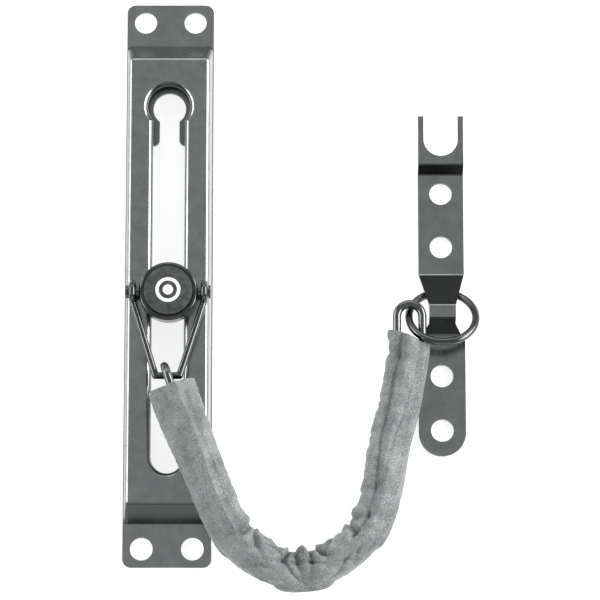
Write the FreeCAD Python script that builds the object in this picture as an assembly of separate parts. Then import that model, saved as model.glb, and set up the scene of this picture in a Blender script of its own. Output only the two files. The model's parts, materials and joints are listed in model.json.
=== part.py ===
import FreeCAD, Part
import math
import os

# Door chain guard: a slotted rail with a sliding push-button catch, a wire bail, a sleeved
# chain, a ring and a forked keeper bracket. Millimetres. +Z points out of the door face,
# +Y runs along the rail towards its keyhole. The origin is the centre of the rail's four
# screw holes, on the mounting plane.

V = FreeCAD.Vector
Z_AXIS = V(0, 0, 1)
X_AXIS = V(1, 0, 0)

# Rail
SHEET = 1.2
RAIL_LENGTH = 149.8
RAIL_WIDTH = 23.0
LUG_LENGTH = 10.3
LUG_CORNER_R = 2.2
SCREW_X = 13.2
SCREW_Y = 140.2
SCREW_R = 2.95
FACE_WIDTH = 21.2
FACE_LENGTH = 117.6
FACE_Z = 7.5
EDGE_ROLL_R = 1.3
SLOT_HALF = 4.15
SLOT_END_Y = -51.0
KEYHOLE_Y = 46.0
KEYHOLE_R = 5.6
SLOT_ROLL_R = 1.5
RIM_BOTTOM_Z = 4.9
RIM_WALL = 1.2

# Keyhole stop plate behind the rail's face
STOP_Z = 2.2
STOP_SHEET = 1.2
STOP_HOLE_R = 4.3
STOP_NECK_HALF = 2.6
STOP_LIP_END_Y = 36.1
STOP_TOP_Y = 54.6
STOP_HALF = 8.6

# Sliding catch
CATCH_X = 0.35
CATCH_Y = -4.4
COLLAR_R = 7.65
COLLAR_Z = (7.8, 12.6)
COLLAR_BORE_R = 6.6
COLLAR_FLOOR = 1.6
STEM_R = 3.6
STEM_BORE_R = 2.4
FLANGE_R = 5.4
FLANGE_Z = (3.7, 4.7)
PIVOT_Z = 11.0
PIVOT_R = 1.1
PIVOT_END_X = 10.35
PIVOT_HEAD_R = 1.7
BUTTON_R = 6.3
BUTTON_Z = (11.2, 14.6)
PLUNGER_R = 2.3
PLUNGER_TIP_R = 3.9
PLUNGER_TIP_Z = (2.5, 3.5)
SPRING_R = 4.1
SPRING_WIRE_R = 0.35

# Wire bail
BAIL_WIRE_R = 0.9
BAIL_EYE_X = 9.3
BAIL_EYE_R = 2.2
BAIL_BAR_Y = -26.6
BAIL_BAR_Z = 12.9
BAIL_BAR_HALF = 3.1

# Chain links: odd ones stand on edge, even ones lie flat
LINK_WIRE_R = 1.1
LINK_LENGTH = 17.0
LINK_WIDTH = 8.8
LINK_END = LINK_LENGTH / 2 - LINK_WIRE_R
HOOK_GAP = 2 * LINK_WIRE_R + 0.3
CHAIN_START = V(-0.4, -24.22, 13.5)
LINK_HEADINGS_DEG = (-71, -67, -68, -63, -31, 4, 38, 69, 81, 74, 80, 90)
LINK_DROPS = (0, 0, 0.9, 2.7, 3.6, 0.7, 0, 0, 0, -0.5, -1.0, 0)

# Leatherette sleeve
SLEEVE_R = 5.5
SLEEVE_WALL = 0.6
SLEEVE_START = 6.2
SLEEVE_TAIL = 1.1
SLEEVE_JOINT_GAP = 0.15

# Ring and keeper bracket
RING_R = 8.7
RING_WIRE_R = 1.0
RING_TILT_DEG = 33.0
RING_HOOK = (-0.15, -0.75, -1.0)
BRACKET_SHEET = 1.6
BRIDGE_Z = 6.3
BRACKET_BEND_R = 1.1
BRACKET_TURN_R = 6.15
BRACKET_END_Y = -46.0
BRACKET_TURN_Y = BRACKET_END_Y + BRACKET_TURN_R
# Side view of the strip, from the fork's tips to the plain end: y, height, shift of the top edge.
BRACKET_PROFILE = (
    (43.8, 3.0, 0.0),
    (31.6, 3.0, -0.6),
    (29.0, 0.0, -0.6),
    (1.4, 0.0, 0.5),
    (-7.8, BRIDGE_Z, 0.5),
    (-9.65, BRIDGE_Z, -0.95),
    (-13.05, 0.0, -0.95),
    (BRACKET_END_Y, 0.0, 0.0),
)
# Plan view of the strip: half width at each y.
BRACKET_PLAN = (
    (5.95, 50.0),
    (5.95, 1.9),
    (3.45, -7.3),
    (3.45, -11.8),
    (BRACKET_TURN_R, -15.6),
    (BRACKET_TURN_R, BRACKET_TURN_Y),
)
BRACKET_HOLES_Y = (23.5, 9.2, -25.0, -39.3)
FORK_HALF = 4.5
FORK_ROOT_Y = 37.6
STOP_LIP_R = 1.6
COLLAR_EDGE_R = 0.7
PIVOT_HEAD_LENGTH = 0.6
BUTTON_CROWN = 0.9
BUTTON_WALL = 0.9
BUTTON_HOLLOW = 1.5
PLUNGER_SEAT = 1.3
SPRING_TURNS = 2.5
SPRING_CLEARANCE = 0.03


def save(shape, node):
    shape.exportStep("parts/" + node + ".step")


def cylinder(radius, start, end):
    """A round bar from start to end."""
    axis = end - start
    return Part.makeCylinder(radius, axis.Length, start, axis)


def prism(points, z_low, z_high):
    """A closed outline in XY, given as (x, y) corners, extruded from z_low to z_high."""
    corners = [V(x, y, z_low) for x, y in points]
    face = Part.Face(Part.makePolygon(corners + corners[:1]))
    return face.extrude(V(0, 0, z_high - z_low))


def rectangle(half_x, half_y):
    return [(-half_x, -half_y), (half_x, -half_y), (half_x, half_y), (-half_x, half_y)]


def frustum(base_x, base_y, top_x, top_y, z_low, z_high):
    """A straight-sided block between two centred rectangles."""
    wires = []
    for half_x, half_y, z in ((base_x, base_y, z_low), (top_x, top_y, z_high)):
        corners = [V(x, y, z) for x, y in rectangle(half_x, half_y)]
        wires.append(Part.makePolygon(corners + corners[:1]))
    return Part.makeLoft(wires, True, True)


def edges_where(shape, test):
    return [edge for edge in shape.Edges if test(edge)]


def is_level(edge, z):
    return all(abs(v.Z - z) < 1e-4 for v in edge.Vertexes)


def keyhole_outline(extra, z_low, z_high):
    """The rail's slot with its round keyhole, grown by extra all round."""
    half = SLOT_HALF + extra
    low_y = SLOT_END_Y + SLOT_HALF
    slot = Part.makeBox(2 * half, KEYHOLE_Y - low_y, z_high - z_low, V(-half, low_y, z_low))
    end = Part.makeCylinder(half, z_high - z_low, V(0, low_y, z_low))
    hole = Part.makeCylinder(KEYHOLE_R + extra, z_high - z_low, V(0, KEYHOLE_Y, z_low))
    return slot.multiFuse([end, hole]).removeSplitter()


def rail_plate():
    base = (RAIL_WIDTH / 2, RAIL_LENGTH / 2 - LUG_LENGTH)
    face = (FACE_WIDTH / 2, FACE_LENGTH / 2)
    outer = frustum(*base, *face, 0, FACE_Z)
    outer = outer.makeFillet(EDGE_ROLL_R, edges_where(outer, lambda e: not is_level(e, 0)))
    inner = frustum(
        base[0] - SHEET, base[1] - SHEET, face[0] - SHEET, face[1] - SHEET, -0.01, FACE_Z - SHEET
    )
    lugs = Part.makeBox(
        RAIL_WIDTH, RAIL_LENGTH, SHEET, V(-RAIL_WIDTH / 2, -RAIL_LENGTH / 2, 0)
    )
    upright = edges_where(lugs, lambda e: abs(e.Vertexes[0].Z - e.Vertexes[-1].Z) > 1)
    lugs = lugs.makeFillet(LUG_CORNER_R, upright)
    rim = keyhole_outline(RIM_WALL, RIM_BOTTOM_Z, FACE_Z - 0.1)
    cut = keyhole_outline(0, -1, FACE_Z + 1)
    plate = outer.fuse(lugs).cut(inner).fuse(rim).cut(cut).removeSplitter()
    mouth = edges_where(
        plate,
        lambda e: is_level(e, FACE_Z)
        and abs(e.CenterOfMass.x) < KEYHOLE_R + 0.5
        and SLOT_END_Y - 1 < e.CenterOfMass.y < KEYHOLE_Y + KEYHOLE_R + 1,
    )
    plate = plate.makeFillet(SLOT_ROLL_R, mouth)
    for x in (-SCREW_X / 2, SCREW_X / 2):
        for y in (-SCREW_Y / 2, SCREW_Y / 2):
            plate = plate.cut(Part.makeCylinder(SCREW_R, 4, V(x, y, -1)))
    return plate


def keyhole_stop():
    """The plate behind the keyhole: a round opening, a narrow neck and two side walls."""
    top = STOP_Z + STOP_SHEET
    plate = Part.makeBox(
        2 * STOP_HALF, STOP_TOP_Y - STOP_LIP_END_Y, STOP_SHEET, V(-STOP_HALF, STOP_LIP_END_Y, STOP_Z)
    )
    hole = Part.makeCylinder(STOP_HOLE_R, 4, V(0, KEYHOLE_Y, STOP_Z - 1))
    neck = Part.makeBox(2 * STOP_NECK_HALF, KEYHOLE_Y - STOP_LIP_END_Y + 2, 4)
    neck.translate(V(-STOP_NECK_HALF, STOP_LIP_END_Y - 2, STOP_Z - 1))
    plate = plate.cut(hole.fuse(neck))
    lips = edges_where(
        plate,
        lambda e: abs(e.Vertexes[0].Z - e.Vertexes[-1].Z) > 1
        and abs(e.CenterOfMass.y - STOP_LIP_END_Y) < 0.01
        and abs(e.CenterOfMass.x) < STOP_HALF - 1,
    )
    plate = plate.makeFillet(STOP_LIP_R, lips)
    walls = []
    for side in (-1, 1):
        low_x = side * STOP_HALF - (SHEET if side > 0 else 0)
        walls.append(
            Part.makeBox(
                SHEET,
                STOP_TOP_Y - STOP_LIP_END_Y,
                FACE_Z - SHEET - top + 0.02,
                V(low_x, STOP_LIP_END_Y, top - 0.02),
            )
        )
    return plate.multiFuse(walls).removeSplitter()


def catch_point(x, y, z):
    return V(CATCH_X + x, CATCH_Y + y, z)


def catch_disc(radius, z_low, z_high):
    return Part.makeCylinder(radius, z_high - z_low, catch_point(0, 0, z_low))


def catch_collar():
    low, high = COLLAR_Z
    body = catch_disc(COLLAR_R, low, high)
    body = body.makeFillet(COLLAR_EDGE_R, edges_where(body, lambda e: is_level(e, high)))
    body = body.cut(catch_disc(COLLAR_BORE_R, low + COLLAR_FLOOR, high + 1))
    body = body.cut(catch_disc(STEM_R, low - 1, high))
    for side in (-1, 1):
        start = catch_point(side * (COLLAR_BORE_R + 0.1), 0, PIVOT_Z)
        end = catch_point(side * (COLLAR_R + 1), 0, PIVOT_Z)
        body = body.cut(cylinder(PIVOT_R, start, end))
    return body


def catch_rear_flange():
    body = catch_disc(FLANGE_R, *FLANGE_Z)
    body = body.fuse(catch_disc(STEM_R, FLANGE_Z[0], COLLAR_Z[0] + COLLAR_FLOOR))
    body = body.cut(catch_disc(STEM_BORE_R, 0, COLLAR_Z[1]))
    return body.removeSplitter()


def pivot_pin(side):
    start = catch_point(side * (COLLAR_BORE_R + 0.15), 0, PIVOT_Z)
    shoulder = catch_point(side * PIVOT_END_X, 0, PIVOT_Z)
    end = catch_point(side * (PIVOT_END_X + PIVOT_HEAD_LENGTH), 0, PIVOT_Z)
    pin = cylinder(PIVOT_R, start, end)
    return pin.fuse(cylinder(PIVOT_HEAD_R, shoulder, end)).removeSplitter()


def push_button():
    """A hollow cap with a crowned top and a boss that the plunger is pressed into."""
    low, high = BUTTON_Z
    shoulder = high - BUTTON_CROWN
    body = catch_disc(BUTTON_R, low, shoulder)
    dome_r = (BUTTON_R**2 + BUTTON_CROWN**2) / (2 * BUTTON_CROWN)
    ball = Part.makeSphere(dome_r, catch_point(0, 0, high - dome_r))
    body = body.fuse(ball.common(catch_disc(BUTTON_R, shoulder, high + 1)))
    body = body.removeSplitter()
    hollow = catch_disc(BUTTON_R - BUTTON_WALL, low - 1, low + BUTTON_HOLLOW)
    boss = catch_disc(PLUNGER_R + BUTTON_WALL, low - 1, low + BUTTON_HOLLOW)
    body = body.cut(hollow.cut(boss))
    return body.cut(catch_disc(PLUNGER_R, low - 1, low + PLUNGER_SEAT))


def plunger():
    body = catch_disc(PLUNGER_R, PLUNGER_TIP_Z[0], BUTTON_Z[0] + PLUNGER_SEAT)
    return body.fuse(catch_disc(PLUNGER_TIP_R, *PLUNGER_TIP_Z)).removeSplitter()


def button_spring():
    low = COLLAR_Z[0] + COLLAR_FLOOR + SPRING_WIRE_R + SPRING_CLEARANCE
    high = BUTTON_Z[0] + BUTTON_HOLLOW - SPRING_WIRE_R - SPRING_CLEARANCE
    helix = Part.makeHelix((high - low) / SPRING_TURNS, high - low, SPRING_R)
    helix.translate(catch_point(0, 0, low))
    start = helix.Edges[0].firstVertex().Point
    ring = Part.Wire(Part.makeCircle(SPRING_WIRE_R, start, V(0, 1, 0)))
    return Part.Wire(helix).makePipeShell([ring], True, True)


def bail_wire():
    """Two eyes on the pivots and one bent wire between them."""
    solids = []
    bar_ends = []
    for side in (-1, 1):
        eye = catch_point(side * BAIL_EYE_X, 0, PIVOT_Z)
        solids.append(Part.makeTorus(BAIL_EYE_R, BAIL_WIRE_R, eye, X_AXIS))
        leg_top = eye + V(0, -BAIL_EYE_R, 0)
        bar_end = V(CATCH_X + side * BAIL_BAR_HALF, BAIL_BAR_Y, BAIL_BAR_Z)
        solids.append(cylinder(BAIL_WIRE_R, leg_top, bar_end))
        solids.append(Part.makeSphere(BAIL_WIRE_R, bar_end))
        bar_ends.append(bar_end)
    solids.append(cylinder(BAIL_WIRE_R, *bar_ends))
    return solids[0].multiFuse(solids[1:]).removeSplitter()


def chain_points():
    """The joint points of the chain, from the first link's near end to the ring."""
    points = [CHAIN_START]
    for number, (heading, drop) in enumerate(zip(LINK_HEADINGS_DEG, LINK_DROPS), 1):
        span = 2 * LINK_END if number % 2 else 2 * (LINK_END - HOOK_GAP)
        level = math.sqrt(span**2 - drop**2)
        turn = math.radians(heading)
        step = V(level * math.cos(turn), level * math.sin(turn), -drop)
        points.append(points[-1] + step)
    return points


def chain_link(start, end, upright):
    """One welded link about the middle of start and end, standing on edge or lying flat."""
    bend_r = LINK_WIDTH / 2 - LINK_WIRE_R
    half = LINK_END - bend_r
    solids = []
    for side in (-1, 1):
        solids.append(cylinder(LINK_WIRE_R, V(-half, side * bend_r, 0), V(half, side * bend_r, 0)))
        bend = Part.makeTorus(bend_r, LINK_WIRE_R, V(0, 0, 0), Z_AXIS, 0, 360, 180)
        bend.rotate(V(0, 0, 0), Z_AXIS, -90 * side)
        bend.translate(V(side * half, 0, 0))
        solids.append(bend)
    link = solids[0].multiFuse(solids[1:]).removeSplitter()
    if upright:
        link.rotate(V(0, 0, 0), X_AXIS, 90)
    return along(link, start, end)


def along(shape, start, end):
    """Turns a shape made along X about the origin to lie between start and end."""
    axis = end - start
    heading = math.degrees(math.atan2(axis.y, axis.x))
    pitch = math.degrees(math.asin(axis.z / axis.Length))
    shape.rotate(V(0, 0, 0), V(0, 1, 0), -pitch)
    shape.rotate(V(0, 0, 0), Z_AXIS, heading)
    shape.translate((start + end) / 2)
    return shape


def beyond(point, normal):
    """A large block on the far side of the plane at point."""
    size = 60
    block = Part.makeBox(size, size, size, V(-size / 2, -size / 2, 0))
    block.Placement = FreeCAD.Placement(point, FreeCAD.Rotation(Z_AXIS, normal))
    return block


def sleeve_segment(points, number):
    """The stretch of sleeve round one link, mitred to its neighbours."""
    start, end = points[number - 1], points[number]
    axis = (end - start).normalize()
    reach = 8
    tube = cylinder(SLEEVE_R, start - axis * reach, end + axis * reach)
    tube = tube.cut(cylinder(SLEEVE_R - SLEEVE_WALL, start - axis * 9, end + axis * 9))
    if number == 1:
        low = beyond(start + axis * SLEEVE_START, axis * -1)
    else:
        before = (start - points[number - 2]).normalize()
        low = beyond(start + axis * SLEEVE_JOINT_GAP, (before + axis) * -1)
    if number == len(LINK_HEADINGS_DEG):
        high = beyond(start + axis * SLEEVE_TAIL, axis)
    else:
        after = (points[number + 1] - end).normalize()
        high = beyond(end - axis * SLEEVE_JOINT_GAP, axis + after)
    return tube.cut(low).cut(high)


def ring_centre(points):
    """The ring's left side passes down through the last link, clear of its end wire."""
    return points[-1] + V(RING_R + RING_HOOK[0], RING_HOOK[1], RING_HOOK[2])


def chain_ring(centre):
    ring = Part.makeTorus(RING_R, RING_WIRE_R, V(0, 0, 0), Z_AXIS)
    ring.rotate(V(0, 0, 0), X_AXIS, -RING_TILT_DEG)
    ring.translate(centre)
    return ring


def keeper_bracket(centre_x):
    """A pressed strip: fork, upper plate, raised bridge over the ring, lower plate."""
    under = [V(0, y, z) for y, z, shift in BRACKET_PROFILE]
    over = [V(0, y + shift, z + BRACKET_SHEET) for y, z, shift in BRACKET_PROFILE]
    loop = under + over[::-1]
    half_blank = 10
    blank_top = 12
    strip = Part.Face(Part.makePolygon(loop + loop[:1])).extrude(V(2 * half_blank, 0, 0))
    strip.translate(V(-half_blank, 0, 0))
    fork_tip_y = BRACKET_PROFILE[0][0]
    bends = edges_where(
        strip,
        lambda e: abs(e.Vertexes[0].X - e.Vertexes[-1].X) > half_blank
        and BRACKET_END_Y + 1 < e.CenterOfMass.y < fork_tip_y - 0.8,
    )
    strip = strip.makeFillet(BRACKET_BEND_R, bends)
    outline = list(BRACKET_PLAN) + [(-x, y) for x, y in BRACKET_PLAN[::-1]]
    turn = Part.makeCylinder(BRACKET_TURN_R, blank_top, V(0, BRACKET_TURN_Y, 0))
    plan = prism(outline, 0, blank_top).fuse(turn).removeSplitter()
    fork = Part.makeCylinder(FORK_HALF, blank_top, V(0, FORK_ROOT_Y, 0))
    opening = Part.makeBox(2 * FORK_HALF, 20, blank_top, V(-FORK_HALF, FORK_ROOT_Y, 0))
    bracket = strip.common(plan).cut(fork.fuse(opening))
    for y in BRACKET_HOLES_Y:
        bracket = bracket.cut(Part.makeCylinder(SCREW_R, blank_top, V(0, y, -1)))
    bracket.translate(V(centre_x, 0, 0))
    return bracket


def build():
    os.makedirs("parts", exist_ok=True)
    save(rail_plate(), "rail_plate")
    save(keyhole_stop(), "keyhole_stop_plate")
    save(catch_collar(), "catch_collar")
    save(catch_rear_flange(), "catch_rear_flange")
    save(Part.makeCompound([pivot_pin(side) for side in (-1, 1)]), "pivot_pins")
    save(push_button(), "push_button")
    save(plunger(), "plunger")
    save(button_spring(), "button_spring")
    save(bail_wire(), "bail_wire")
    points = chain_points()
    for number in range(1, len(points)):
        start, end = points[number - 1], points[number]
        name = f"{number:02d}"
        save(chain_link(start, end, number % 2 == 1), "chain_link_" + name)
        save(sleeve_segment(points, number), "sleeve_segment_" + name)
    centre = ring_centre(points)
    save(chain_ring(centre), "chain_ring")
    save(keeper_bracket(centre.x), "keeper_bracket")
    return points, centre


chain, ring_middle = build()
print("chain length", round(sum((b - a).Length for a, b in zip(chain, chain[1:])), 1))
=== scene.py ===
import bpy
import json
import math
import numpy as np
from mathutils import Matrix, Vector


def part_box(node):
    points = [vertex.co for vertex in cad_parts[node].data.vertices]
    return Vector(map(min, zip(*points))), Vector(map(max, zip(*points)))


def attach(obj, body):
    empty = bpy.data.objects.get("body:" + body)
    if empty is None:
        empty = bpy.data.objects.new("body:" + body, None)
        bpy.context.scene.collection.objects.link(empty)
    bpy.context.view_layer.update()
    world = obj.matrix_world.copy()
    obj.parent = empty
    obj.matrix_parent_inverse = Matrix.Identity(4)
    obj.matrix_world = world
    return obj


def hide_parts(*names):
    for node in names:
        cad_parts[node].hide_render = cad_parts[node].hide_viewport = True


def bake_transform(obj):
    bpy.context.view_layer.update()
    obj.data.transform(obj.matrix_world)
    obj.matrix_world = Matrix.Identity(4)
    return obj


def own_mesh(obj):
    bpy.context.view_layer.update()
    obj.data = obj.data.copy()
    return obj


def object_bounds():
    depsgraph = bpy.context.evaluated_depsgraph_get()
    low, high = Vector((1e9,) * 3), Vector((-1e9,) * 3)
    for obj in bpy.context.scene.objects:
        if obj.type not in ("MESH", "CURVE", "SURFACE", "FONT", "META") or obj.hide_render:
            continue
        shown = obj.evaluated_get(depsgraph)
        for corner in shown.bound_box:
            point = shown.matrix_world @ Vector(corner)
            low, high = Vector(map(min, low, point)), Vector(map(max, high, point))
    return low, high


MM = 0.001
LINKS = 12

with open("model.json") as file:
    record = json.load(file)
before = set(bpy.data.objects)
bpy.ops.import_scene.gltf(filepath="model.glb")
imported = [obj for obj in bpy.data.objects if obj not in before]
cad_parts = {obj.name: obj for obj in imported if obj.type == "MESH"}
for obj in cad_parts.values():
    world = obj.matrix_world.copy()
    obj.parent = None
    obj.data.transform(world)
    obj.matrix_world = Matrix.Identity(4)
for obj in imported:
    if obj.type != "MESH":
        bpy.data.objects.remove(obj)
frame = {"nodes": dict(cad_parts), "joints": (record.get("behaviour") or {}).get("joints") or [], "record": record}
CAD_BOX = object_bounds()
JOINTS = {joint["name"]: joint for joint in frame["joints"]}

# Sizes of the sleeve, the links inside it, the button and its spring, in millimetres
SLEEVE_START = 5.6
SLEEVE_END = 2.4
SLEEVE_WALL = 0.6
SLEEVE_HALF_WIDTH = 5.5
SLEEVE_HALF_HEIGHT = 5.3
SLEEVE_R_BY_BRACKET = 5.3
SLEEVE_END_SLANT = 1.9
SLEEVE_LIP = 0.22
LINK_WIRE_R = 1.1
LINK_BEND_R = 3.3
LINK_STRAIGHT = 4.1
LINK_GAP = 0.2
SPRING_WIRE_R = 0.35
SPRING_TURNS = 2.5
BUTTON_CROWN = 0.9
MARK_THICKNESS = 0.02
MARK_LIFT = 0.025
FLOOR_GAP = 0.05

# How the sleeve's path is sampled and bent, in millimetres, and its points round each section
BEND_REACH = 3.5
STEP = 0.32
AROUND = 120
UV_RADIUS = 5.4


# ---------------------------------------------------------------- materials


def new_material(name):
    """A node material, its tree and its principled shader."""
    material = bpy.data.materials.new(name)
    material.use_nodes = True
    tree = material.node_tree
    return material, tree, tree.nodes["Principled BSDF"]


def add(tree, kind, **values):
    """A new node, with each value given to the input or the setting of that name."""
    node = tree.nodes.new(kind)
    for key, value in values.items():
        if key in node.inputs:
            node.inputs[key].default_value = value
        else:
            setattr(node, key, value)
    return node


def ramp(tree, source, low, high, dark, light):
    """Maps a noise between low and high to a range of greys or colours."""
    node = tree.nodes.new("ShaderNodeValToRGB")
    node.color_ramp.elements[0].position = low
    node.color_ramp.elements[0].color = dark
    node.color_ramp.elements[1].position = high
    node.color_ramp.elements[1].color = light
    tree.links.new(source, node.inputs["Fac"])
    return node.outputs["Color"]


def grey(value, tint=(0.97, 1.0, 1.0)):
    return (value * tint[0], value * tint[1], value * tint[2], 1.0)


def painted_slope_shade_mask(tree):
    """Mask for the painted shade on slopes: white on faces that lean towards +Y or -Y, such as a pressed step,
    black elsewhere.
    """
    leaning = tree.nodes.new("ShaderNodeTexCoord").outputs["Normal"]
    split = tree.nodes.new("ShaderNodeSeparateXYZ")
    tree.links.new(leaning, split.inputs["Vector"])
    size = add(tree, "ShaderNodeMath", operation="ABSOLUTE")
    tree.links.new(split.outputs["Y"], size.inputs[0])
    mask = add(tree, "ShaderNodeMapRange", **{"From Min": 0.3, "From Max": 0.62})
    mask.interpolation_type = "SMOOTHSTEP"
    tree.links.new(size.outputs["Value"], mask.inputs["Value"])
    return mask.outputs["Result"]


def metal(name, tone, roughness, painted_slope_shade=0.0):
    """Dark plated steel: faint mottling, fine haze and a slightly uneven plated surface.

    The last argument sets painted shade: how much darker the colour is made on faces that lean towards +Y or -Y,
    such as the slopes of a pressed step. It stands in for the dark surroundings those slopes reflect.
    """
    material, tree, shader = new_material(name)
    where = tree.nodes.new("ShaderNodeTexCoord").outputs["Object"]
    mottle = add(tree, "ShaderNodeTexNoise", Scale=260.0, Detail=5.0, Roughness=0.6)
    haze = add(tree, "ShaderNodeTexNoise", Scale=900.0, Detail=3.0)
    peel = add(tree, "ShaderNodeTexNoise", Scale=1500.0, Detail=2.0)
    for node in (mottle, haze, peel):
        tree.links.new(where, node.inputs["Vector"])
    colour = ramp(tree, mottle.outputs["Fac"], 0.3, 0.7, grey(tone * 0.86), grey(tone * 1.1))
    # Painted shade: faces leaning towards +Y or -Y get a darker base colour, standing in for a dark reflection.
    if painted_slope_shade:
        painted_shade = add(tree, "ShaderNodeMix", data_type="RGBA", blend_type="MIX")
        painted_shade.inputs[7].default_value = grey(tone * (1 - painted_slope_shade))
        tree.links.new(painted_slope_shade_mask(tree), painted_shade.inputs[0])
        tree.links.new(colour, painted_shade.inputs[6])
        colour = painted_shade.outputs[2]
    tree.links.new(colour, shader.inputs["Base Color"])
    rough = add(tree, "ShaderNodeMapRange", **{"To Min": roughness * 0.7, "To Max": roughness * 1.35})
    tree.links.new(haze.outputs["Fac"], rough.inputs["Value"])
    tree.links.new(rough.outputs["Result"], shader.inputs["Roughness"])
    bump = add(tree, "ShaderNodeBump", Strength=0.06, Distance=0.00006)
    tree.links.new(peel.outputs["Fac"], bump.inputs["Height"])
    tree.links.new(bump.outputs["Normal"], shader.inputs["Normal"])
    shader.inputs["Metallic"].default_value = 1.0
    return material


def gloss_black(name):
    """Moulded black cap with a faint flow texture."""
    material, tree, shader = new_material(name)
    where = tree.nodes.new("ShaderNodeTexCoord").outputs["Object"]
    noise = add(tree, "ShaderNodeTexNoise", Scale=700.0, Detail=3.0)
    tree.links.new(where, noise.inputs["Vector"])
    colour = ramp(tree, noise.outputs["Fac"], 0.3, 0.7, grey(0.025), grey(0.075))
    tree.links.new(colour, shader.inputs["Base Color"])
    bump = add(tree, "ShaderNodeBump", Strength=0.3, Distance=0.0001)
    tree.links.new(noise.outputs["Fac"], bump.inputs["Height"])
    tree.links.new(bump.outputs["Normal"], shader.inputs["Normal"])
    shader.inputs["Roughness"].default_value = 0.3
    shader.inputs["Coat Weight"].default_value = 0.5
    return material


def print_white(name):
    """Printed white ink, a little uneven."""
    material, tree, shader = new_material(name)
    where = tree.nodes.new("ShaderNodeTexCoord").outputs["Object"]
    noise = add(tree, "ShaderNodeTexNoise", Scale=2500.0, Detail=3.0)
    tree.links.new(where, noise.inputs["Vector"])
    colour = ramp(tree, noise.outputs["Fac"], 0.3, 0.7, grey(0.78), grey(0.9))
    tree.links.new(colour, shader.inputs["Base Color"])
    shader.inputs["Roughness"].default_value = 0.5
    return material


def leatherette(name):
    """Grey grained leatherette: pebbled cells, fine pores, painted shade in the grooves between the cells so the
    tops read lighter, soft sheen.
    """
    material, tree, shader = new_material(name)
    where = tree.nodes.new("ShaderNodeUVMap").outputs["UV"]
    warp = add(tree, "ShaderNodeTexNoise", Scale=260.0, Detail=3.0)
    cells = add(tree, "ShaderNodeTexVoronoi", Scale=1500.0, feature="DISTANCE_TO_EDGE")
    pores = add(tree, "ShaderNodeTexNoise", Scale=4200.0, Detail=4.0)
    patches = add(tree, "ShaderNodeTexNoise", Scale=120.0, Detail=6.0, Roughness=0.7)
    for node in (warp, pores, patches):
        tree.links.new(where, node.inputs["Vector"])
    shift = add(tree, "ShaderNodeVectorMath", operation="MULTIPLY_ADD")
    shift.inputs[1].default_value = (0.0009, 0.0009, 0.0009)
    tree.links.new(warp.outputs["Color"], shift.inputs[0])
    tree.links.new(where, shift.inputs[2])
    tree.links.new(shift.outputs["Vector"], cells.inputs["Vector"])
    pebble = add(tree, "ShaderNodeMapRange", **{"From Max": 0.22})
    tree.links.new(cells.outputs["Distance"], pebble.inputs["Value"])
    ground = ramp(tree, patches.outputs["Fac"], 0.34, 0.66, grey(0.15), grey(0.35))
    # Painted shade: the grooves between the grain's cells are coloured darker than the cell tops.
    groove = ramp(tree, pebble.outputs["Result"], 0.0, 0.8, grey(0.62), grey(1.0))
    mix = add(tree, "ShaderNodeMix", data_type="RGBA", blend_type="MULTIPLY")
    mix.inputs[0].default_value = 1.0
    tree.links.new(ground, mix.inputs[6])
    tree.links.new(groove, mix.inputs[7])
    tree.links.new(mix.outputs[2], shader.inputs["Base Color"])
    rough = add(tree, "ShaderNodeMapRange", **{"To Min": 0.58, "To Max": 0.32})
    tree.links.new(pebble.outputs["Result"], rough.inputs["Value"])
    tree.links.new(rough.outputs["Result"], shader.inputs["Roughness"])
    fine = add(tree, "ShaderNodeBump", Strength=0.25, Distance=0.00008)
    tree.links.new(pores.outputs["Fac"], fine.inputs["Height"])
    coarse = add(tree, "ShaderNodeBump", Strength=0.55, Distance=0.00016)
    tree.links.new(pebble.outputs["Result"], coarse.inputs["Height"])
    tree.links.new(fine.outputs["Normal"], coarse.inputs["Normal"])
    tree.links.new(coarse.outputs["Normal"], shader.inputs["Normal"])
    shader.inputs["Sheen Weight"].default_value = 0.15
    shader.inputs["Specular IOR Level"].default_value = 0.55
    return material


def floor_white(name):
    material, tree, shader = new_material(name)
    where = tree.nodes.new("ShaderNodeTexCoord").outputs["Object"]
    noise = add(tree, "ShaderNodeTexNoise", Scale=3.0)
    tree.links.new(where, noise.inputs["Vector"])
    colour = ramp(tree, noise.outputs["Fac"], 0.3, 0.7, grey(0.5, (1, 1, 1)), grey(0.52, (1, 1, 1)))
    tree.links.new(colour, shader.inputs["Base Color"])
    shader.inputs["Roughness"].default_value = 0.9
    shader.inputs["Specular IOR Level"].default_value = 0.0
    shader.inputs["Emission Color"].default_value = (1, 1, 1, 1)
    shader.inputs["Emission Strength"].default_value = 0.78
    return material


# ---------------------------------------------------------------- meshes


def mesh_object(name, vertices, faces, material, normals=None, uvs=None):
    """A smooth mesh from points in millimetres, with its own normals and UVs if given."""
    mesh = bpy.data.meshes.new(name)
    mesh.from_pydata((np.asarray(vertices) * MM).tolist(), [], faces)
    mesh.materials.append(material)
    mesh.polygons.foreach_set("use_smooth", [True] * len(mesh.polygons))
    if uvs is not None:
        layer = mesh.uv_layers.new(name="UVMap")
        corners = np.zeros(len(mesh.loops), int)
        mesh.loops.foreach_get("vertex_index", corners)
        layer.data.foreach_set("uv", np.asarray(uvs)[corners].astype(np.float32).ravel())
    if normals is not None:
        mesh.normals_split_custom_set_from_vertices(np.asarray(normals).tolist())
    thing = bpy.data.objects.new(name, mesh)
    bpy.context.scene.collection.objects.link(thing)
    return thing


def band_faces(rows, around, base=0, closed=False):
    """Quads between successive rings of points, and from the last to the first if closed."""
    faces = []
    for row in range(rows if closed else rows - 1):
        a = base + row * around
        b = base + (row + 1) % rows * around
        for k in range(around):
            after = (k + 1) % around
            faces.append((a + k, b + k, b + after, a + after))
    return faces


# ---------------------------------------------------------------- sleeve


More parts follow.
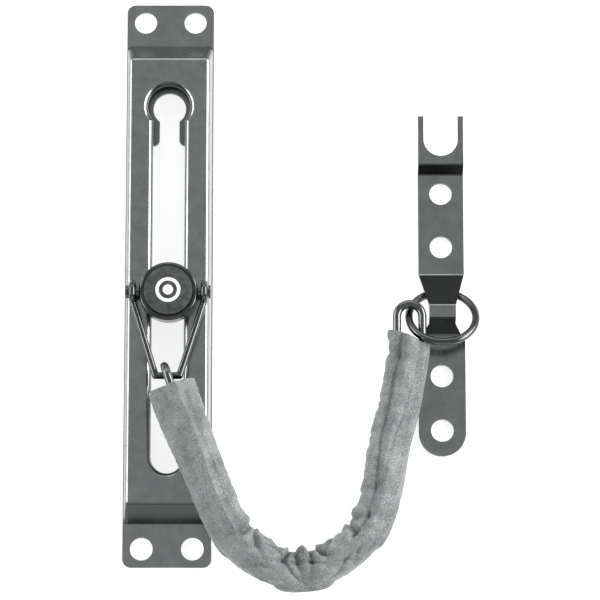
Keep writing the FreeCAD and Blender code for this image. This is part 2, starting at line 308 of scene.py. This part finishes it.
def chain_points():
    """The chain's joint points, in millimetres, and a last one up the twelfth link."""
    points = [
        np.array(JOINTS[f"link_{number:02d}_turn"]["pos_m"]) / MM for number in range(1, LINKS + 1)
    ]
    last = points[-1].copy()
    last[1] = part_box(f"chain_link_{LINKS:02d}")[1].y / MM
    points.append(last)
    return points


def rounded_path(points):
    """Centreline samples, with each corner rounded over BEND_REACH, from start to end."""
    samples = []
    directions = [(b - a) / np.linalg.norm(b - a) for a, b in zip(points, points[1:])]
    here = points[0] + directions[0] * SLEEVE_START
    for number in range(1, len(points) - 1):
        corner = points[number]
        enter = corner - directions[number - 1] * BEND_REACH
        leave = corner + directions[number] * BEND_REACH
        count = max(2, int(np.linalg.norm(enter - here) / STEP))
        samples += [here + (enter - here) * i / count for i in range(count)]
        count = int(2 * BEND_REACH / STEP)
        for i in range(count):
            t = i / count
            samples.append((1 - t) ** 2 * enter + 2 * t * (1 - t) * corner + t**2 * leave)
        here = leave
    end = points[-2] + directions[-1] * SLEEVE_END
    if np.dot(end - here, directions[-1]) > 0:
        count = max(2, int(np.linalg.norm(end - here) / STEP))
        samples += [here + (end - here) * i / count for i in range(count + 1)]
    return np.array(samples)


def smooth_step(x, low, high):
    t = np.clip((x - low) / (high - low), 0, 1)
    return t * t * (3 - 2 * t)


def bell(x, width):
    return np.exp(-((x / width) ** 2))


def turns_of(points):
    """Signed turn in the plane at each inner joint point, in degrees."""
    headings = [math.atan2(*(b - a)[[1, 0]]) for a, b in zip(points, points[1:])]
    return [math.degrees(b - a) for a, b in zip(headings, headings[1:])]


def link_envelope(s, degrees, centres):
    """How far the links inside reach from the sleeve's axis, 0 where there is none."""
    reach = np.zeros_like(s)
    for number, centre in centres:
        away = np.clip(np.abs(s - centre) - LINK_STRAIGHT, 0, None)
        side = np.sqrt(np.clip(LINK_BEND_R**2 - away**2, 0, None))
        for facing in ((90, 270) if number % 2 else (0, 180)):
            turn = np.radians(degrees - facing)
            across = LINK_WIRE_R**2 - (side * np.sin(turn)) ** 2
            here = (across > 0) & (np.cos(turn) > 0) & (away < LINK_BEND_R + 1)
            far = side * np.cos(turn) + np.sqrt(np.clip(across, 0, None))
            reach = np.where(here, np.maximum(reach, far), reach)
    return reach


def crease(phase):
    """Narrow valleys, one for every half turn of the phase."""
    return (1 - np.abs(np.sin(phase))) ** 3.5


def oval(s, a, total):
    """The plain cross-section: wider where the sleeve begins, lower where it ends."""
    begin = 1 - smooth_step(s, 2, 26)
    finish = smooth_step(s, total - 12, total)
    wide = SLEEVE_HALF_WIDTH + 0.75 * begin
    high = SLEEVE_HALF_HEIGHT - 0.1 * begin - 0.3 * finish
    return wide * high / np.sqrt((high * np.cos(a)) ** 2 + (wide * np.sin(a)) ** 2)


def seam_ridge(s, degrees):
    """The left arm's lengthwise ridge, with a flat beside it."""
    ridge = 101 + 3 * np.sin(s * 0.16)
    raised = 0.75 * bell(degrees - ridge, 8) - 0.95 * bell(degrees - ridge + 40, 24)
    return raised - 0.35 * bell(degrees - ridge - 20, 10)


def long_grooves(s, degrees):
    """The right arm's lengthwise grooves."""
    groove = 118 + 5 * np.sin(s * 0.11 + 1)
    depth = 1.0 * bell(degrees - groove, 8) - 0.45 * bell(degrees - groove + 24, 12)
    return depth + 0.7 * bell(degrees - 52, 18) - 0.25 * bell(degrees - 158, 16)


def crossing_folds(s, a):
    """Two families of slanting folds, deepest on the inside of the U."""
    first = 0.23 * s + a * 1.6 + 0.5 * np.sin(0.31 * s)
    second = 0.17 * s - a * 2.1 + 0.7 * np.sin(0.23 * s + 1)
    depth = 1.5 * crease(first) + 1.3 * crease(second) - 0.35
    return np.clip(np.sin(a / 2), 0, 1) * (depth - 0.35 * np.sin(s * 0.52 + a * 2.4))


def corner_creases(s, degrees, corners):
    """Where the chain turns: a bulge between two V creases inside, and a dip outside."""
    shape = np.zeros_like(s)
    inside = np.abs(degrees - 180) / 180
    fade = np.clip(1 - inside * 1.2, 0, 1)
    for place, turn in corners:
        strength = min(abs(turn) / 33, 1.1)
        if strength < 0.12:
            continue
        for side in (-1, 1):
            lean = side * (0.8 + 6.5 * inside) + 1.2 * np.sin(place + 4 * inside)
            shape -= 2.0 * strength * bell(s - place - lean, 0.95) * fade
            shape += 0.8 * strength * bell(s - place - lean - side * 2.4, 1.3) * fade
        shape += 1.1 * strength * bell(s - place, 1.6) * np.clip(1 - inside * 1.4, 0, 1) ** 1.3
        shape -= 0.6 * strength * bell(s - place, 3.2) * smooth_step(inside, 0.6, 1)
    return shape


def fine_wrinkles(s, a):
    slow = 0.07 * np.sin(s * 1.9 + 3 * np.sin(a * 2)) * np.sin(a * 3 + s * 0.6)
    return slow + 0.05 * np.sin(s * 3.7 + a * 5) * np.sin(s * 0.9 - a * 2)


def section_radius(distance, angle, total, corners, centres):
    """The sleeve's radius at a distance along it and an angle round it.

    The angle is 0 on the outside of the U, 90 degrees on top and 180 on the inside.
    """
    s, a = np.meshgrid(distance, angle, indexing="ij")
    degrees = np.degrees(a)
    left = 1 - smooth_step(s, 38, 56)
    right = smooth_step(s, total - 66, total - 46)
    middle = 1 - np.maximum(left, right)
    radius = oval(s, a, total)
    radius += left * seam_ridge(s, degrees)
    radius -= right * long_grooves(s, degrees)
    radius *= 1 - 0.13 * bell(s - total * 0.5, 24)
    radius -= middle * crossing_folds(s, a)
    radius -= right * 0.5 * crease(0.05 * s + a * 2.5 + 0.4) * bell(degrees - 90, 60)
    radius += corner_creases(s, degrees, corners)
    radius += fine_wrinkles(s, a)
    beside_bracket = right * np.clip(1.6 * np.cos(a), 0, 1)
    radius = np.minimum(radius, SLEEVE_R_BY_BRACKET + 3 * (1 - beside_bracket))
    held = link_envelope(s, degrees, centres) + SLEEVE_WALL + LINK_GAP
    return np.maximum(radius, held)


def tangents(path):
    tangent = np.gradient(path, axis=0)
    return tangent / np.linalg.norm(tangent, axis=1)[:, None]


def sleeve_surface(path, radius, angle, slant):
    """Points on the sleeve's surface for every step along the path and round it."""
    tangent = tangents(path)
    outward = np.cross(tangent, (0, 0, 1))
    outward /= np.linalg.norm(outward, axis=1)[:, None]
    up = np.cross(outward, tangent)
    round_it = (
        outward[:, None, :] * np.cos(angle)[None, :, None]
        + up[:, None, :] * np.sin(angle)[None, :, None]
    )
    points = path[:, None, :] + round_it * radius[:, :, None]
    return points + tangent[:, None, :] * slant[:, :, None]


def grid_normals(points):
    """Unit normals of a surface given as rings of points."""
    along = np.gradient(points, axis=0)
    around = np.roll(points, -1, axis=1) - np.roll(points, 1, axis=1)
    normals = np.cross(around, along)
    return normals / np.linalg.norm(normals, axis=2)[:, :, None]


def nearest_sample(path, point):
    return int(np.argmin(np.linalg.norm(path - point, axis=1)))


def blend_across(piece):
    """Bakes the piece's placement into its mesh."""
    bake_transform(piece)


def make_sleeve(material):
    """One sewn tube, cut into pieces at the links' middles."""
    points = chain_points()
    path = rounded_path(points)
    tangent = tangents(path)
    steps = np.linalg.norm(np.diff(path, axis=0), axis=1)
    distance = np.concatenate([[0], np.cumsum(steps)])
    total = distance[-1]
    angle = np.linspace(0, 2 * math.pi, AROUND, endpoint=False)
    corners = [
        (distance[nearest_sample(path, points[number])], turn)
        for number, turn in enumerate(turns_of(points), 1)
    ]
    middles = [(a + b) / 2 for a, b in zip(points, points[1:])]
    centres = [
        (number, distance[nearest_sample(path, middle)])
        for number, middle in enumerate(middles, 1)
    ]
    radius = section_radius(distance, angle, total, corners, centres)
    near_end = smooth_step(distance, total - 9, total)
    slant = -SLEEVE_END_SLANT * near_end[:, None] * np.cos(angle)[None, :]
    outer = sleeve_surface(path, radius, angle, slant)
    inner = sleeve_surface(path, radius - SLEEVE_WALL, angle, slant)
    lip = sleeve_surface(path, radius - SLEEVE_WALL / 2, angle, slant)
    outer[:, :, 2] = np.maximum(outer[:, :, 2], FLOOR_GAP)
    normal_out = grid_normals(outer)
    if np.sum(normal_out * (outer - path[:, None, :])) < 0:
        normal_out = -normal_out
    uv = np.stack(
        [
            np.broadcast_to(distance[:, None], radius.shape) * MM,
            np.broadcast_to(angle[None, :] * UV_RADIUS, radius.shape) * MM,
        ],
        axis=2,
    )
    cuts = [0] + [nearest_sample(path, middle) for middle in middles[1:-1]] + [len(path) - 1]
    for number in range(2, LINKS + 1):
        first, last = cuts[number - 2], cuts[number - 1]
        layers = [(outer[i], normal_out[i], uv[i]) for i in range(first, last + 1)]
        if number == 2:
            back = np.tile(-tangent[0], (AROUND, 1))
            layers.insert(0, (lip[0] - tangent[0] * SLEEVE_LIP, back, uv[0]))
        if number == LINKS:
            forward = np.tile(tangent[-1], (AROUND, 1))
            layers.append((lip[-1] + tangent[-1] * SLEEVE_LIP, forward, uv[-1]))
        layers += [(inner[i], -normal_out[i], uv[i]) for i in range(last, first - 1, -1)]
        vertices, normals, uvs = (np.concatenate(rings) for rings in zip(*layers))
        faces = band_faces(len(layers), AROUND, closed=True)
        name = f"leatherette_sleeve_{number:02d}"
        piece = mesh_object(name, vertices, faces, material, normals, uvs)
        blend_across(piece)
        nodes = [f"sleeve_segment_{number:02d}"]
        if number == 2:
            nodes.append("sleeve_segment_01")
        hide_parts(*nodes)


# ---------------------------------------------------------------- button


def make_button_spring(material):
    """The coil under the button."""
    low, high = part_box("button_spring")
    low, high = low / MM, high / MM
    centre = (low + high) / 2
    coil_r = (high.x - low.x) / 2 - SPRING_WIRE_R
    height = high.z - low.z
    count, around = 160, 12
    vertices = []
    for i in range(count + 1):
        turn = 2 * math.pi * SPRING_TURNS * i / count
        z = low.z + SPRING_WIRE_R + (height - 2 * SPRING_WIRE_R) * i / count
        for k in range(around):
            part = 2 * math.pi * k / around
            r = coil_r + SPRING_WIRE_R * math.cos(part)
            x = centre.x + r * math.cos(turn)
            y = centre.y + r * math.sin(turn)
            vertices.append((x, y, z + SPRING_WIRE_R * math.sin(part)))
    faces = band_faces(count + 1, around)
    faces.append(tuple(range(around)))
    faces.append(tuple(count * around + k for k in reversed(range(around))))
    spring = mesh_object("button_spring_coil", vertices, faces, material)
    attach(spring, "catch")
    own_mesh(spring)
    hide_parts("button_spring")


def make_button_mark(material):
    """A printed press symbol, a dot in a ring, that follows the button's crown."""
    low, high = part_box("push_button")
    centre = (low + high) / 2 / MM
    top = high.z / MM
    edge_r = (high.x - low.x) / 2 / MM
    dome_r = (edge_r**2 + BUTTON_CROWN**2) / (2 * BUTTON_CROWN)
    steps, around = 7, 96
    vertices, faces = [], []
    for inner_r, outer_r in ((0.02, 1.35), (2.35, 3.25)):
        base = len(vertices)
        for r in np.linspace(inner_r, outer_r, steps):
            z = top - dome_r + math.sqrt(dome_r**2 - r**2) + MARK_LIFT
            for k in range(around):
                turn = 2 * math.pi * k / around
                vertices.append((centre.x + r * math.cos(turn), centre.y + r * math.sin(turn), z))
        faces += band_faces(steps, around, base)
    faces.append(tuple(range(around)))
    mark = mesh_object("button_press_mark", vertices, faces, material)
    solid = mark.modifiers.new("thickness", "SOLIDIFY")
    solid.thickness = MARK_THICKNESS * MM
    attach(mark, "button")


# ---------------------------------------------------------------- stage


def area_light(name, place, target, size, power):
    data = bpy.data.lights.new(name, "AREA")
    data.shape = "RECTANGLE"
    data.size, data.size_y = size
    data.energy = power
    lamp = bpy.data.objects.new(name, data)
    lamp.location = place
    lamp.rotation_euler = (Vector(target) - Vector(place)).to_track_quat("-Z", "Y").to_euler()
    bpy.context.scene.collection.objects.link(lamp)


def make_stage():
    floor_z = CAD_BOX[0].z - 0.2 * MM
    bpy.ops.mesh.primitive_plane_add(size=4.0, location=(0.034, 0, floor_z))
    floor = bpy.context.object
    floor.name = "floor"
    floor.data.materials.append(floor_white("floor_white"))
    middle = (0.034, -0.005, 0)
    area_light("soft_right", (0.75, 0.1, 0.42), middle, (0.9, 0.5), 9.5)
    area_light("soft_left", (-0.7, 0.05, 0.36), middle, (0.9, 0.4), 4.5)
    area_light("soft_far", (0.03, 0.75, 0.5), middle, (0.8, 0.4), 1.6)
    area_light("soft_near", (0.03, -0.85, 0.35), middle, (0.8, 0.3), 0.8)
    world = bpy.data.worlds.new("studio")
    world.use_nodes = True
    world.node_tree.nodes["Background"].inputs["Color"].default_value = (0.43, 0.44, 0.44, 1)
    world.node_tree.nodes["Background"].inputs["Strength"].default_value = 1.0
    bpy.context.scene.world = world
    bpy.context.scene.view_settings.view_transform = "Standard"


def make_camera():
    tilt = math.radians(10)
    reach = 0.787
    target = Vector((0.0344, -0.0046, 0))
    data = bpy.data.cameras.new("camera")
    data.sensor_width = 36
    data.lens = 180
    data.clip_start = 0.05
    camera = bpy.data.objects.new("camera", data)
    camera.location = target + Vector((0, -math.sin(tilt), math.cos(tilt))) * reach
    camera.rotation_euler = (tilt, 0, 0)
    bpy.context.scene.collection.objects.link(camera)
    bpy.context.scene.camera = camera


# ---------------------------------------------------------------- assembly

LOOKS = {
    "rail_nickel": metal("black_nickel_rail", 0.36, 0.2, painted_slope_shade=0.8),
    "inner_nickel": metal("black_nickel_inner", 0.22, 0.3),
    "catch_nickel": metal("black_nickel_catch", 0.1, 0.18),
    "spring_steel": metal("bright_spring", 0.55, 0.2),
    "button_black": gloss_black("button_gloss"),
    "wire_nickel": metal("black_nickel_wire", 0.11, 0.16),
    "chain_steel": metal("black_nickel_chain", 0.16, 0.18),
    "sleeve_leatherette": leatherette("grey_leatherette"),
    "bracket_nickel": metal("black_nickel_bracket", 0.33, 0.2, painted_slope_shade=0.88),
}

for part in frame["record"]["subparts"]:
    node = frame["nodes"][part["node"]]
    node.data.materials.clear()
    node.data.materials.append(LOOKS[part["material_slot"]])

make_sleeve(LOOKS["sleeve_leatherette"])
make_button_mark(print_white("printed_white"))
make_button_spring(LOOKS["spring_steel"])
make_stage()
make_camera()
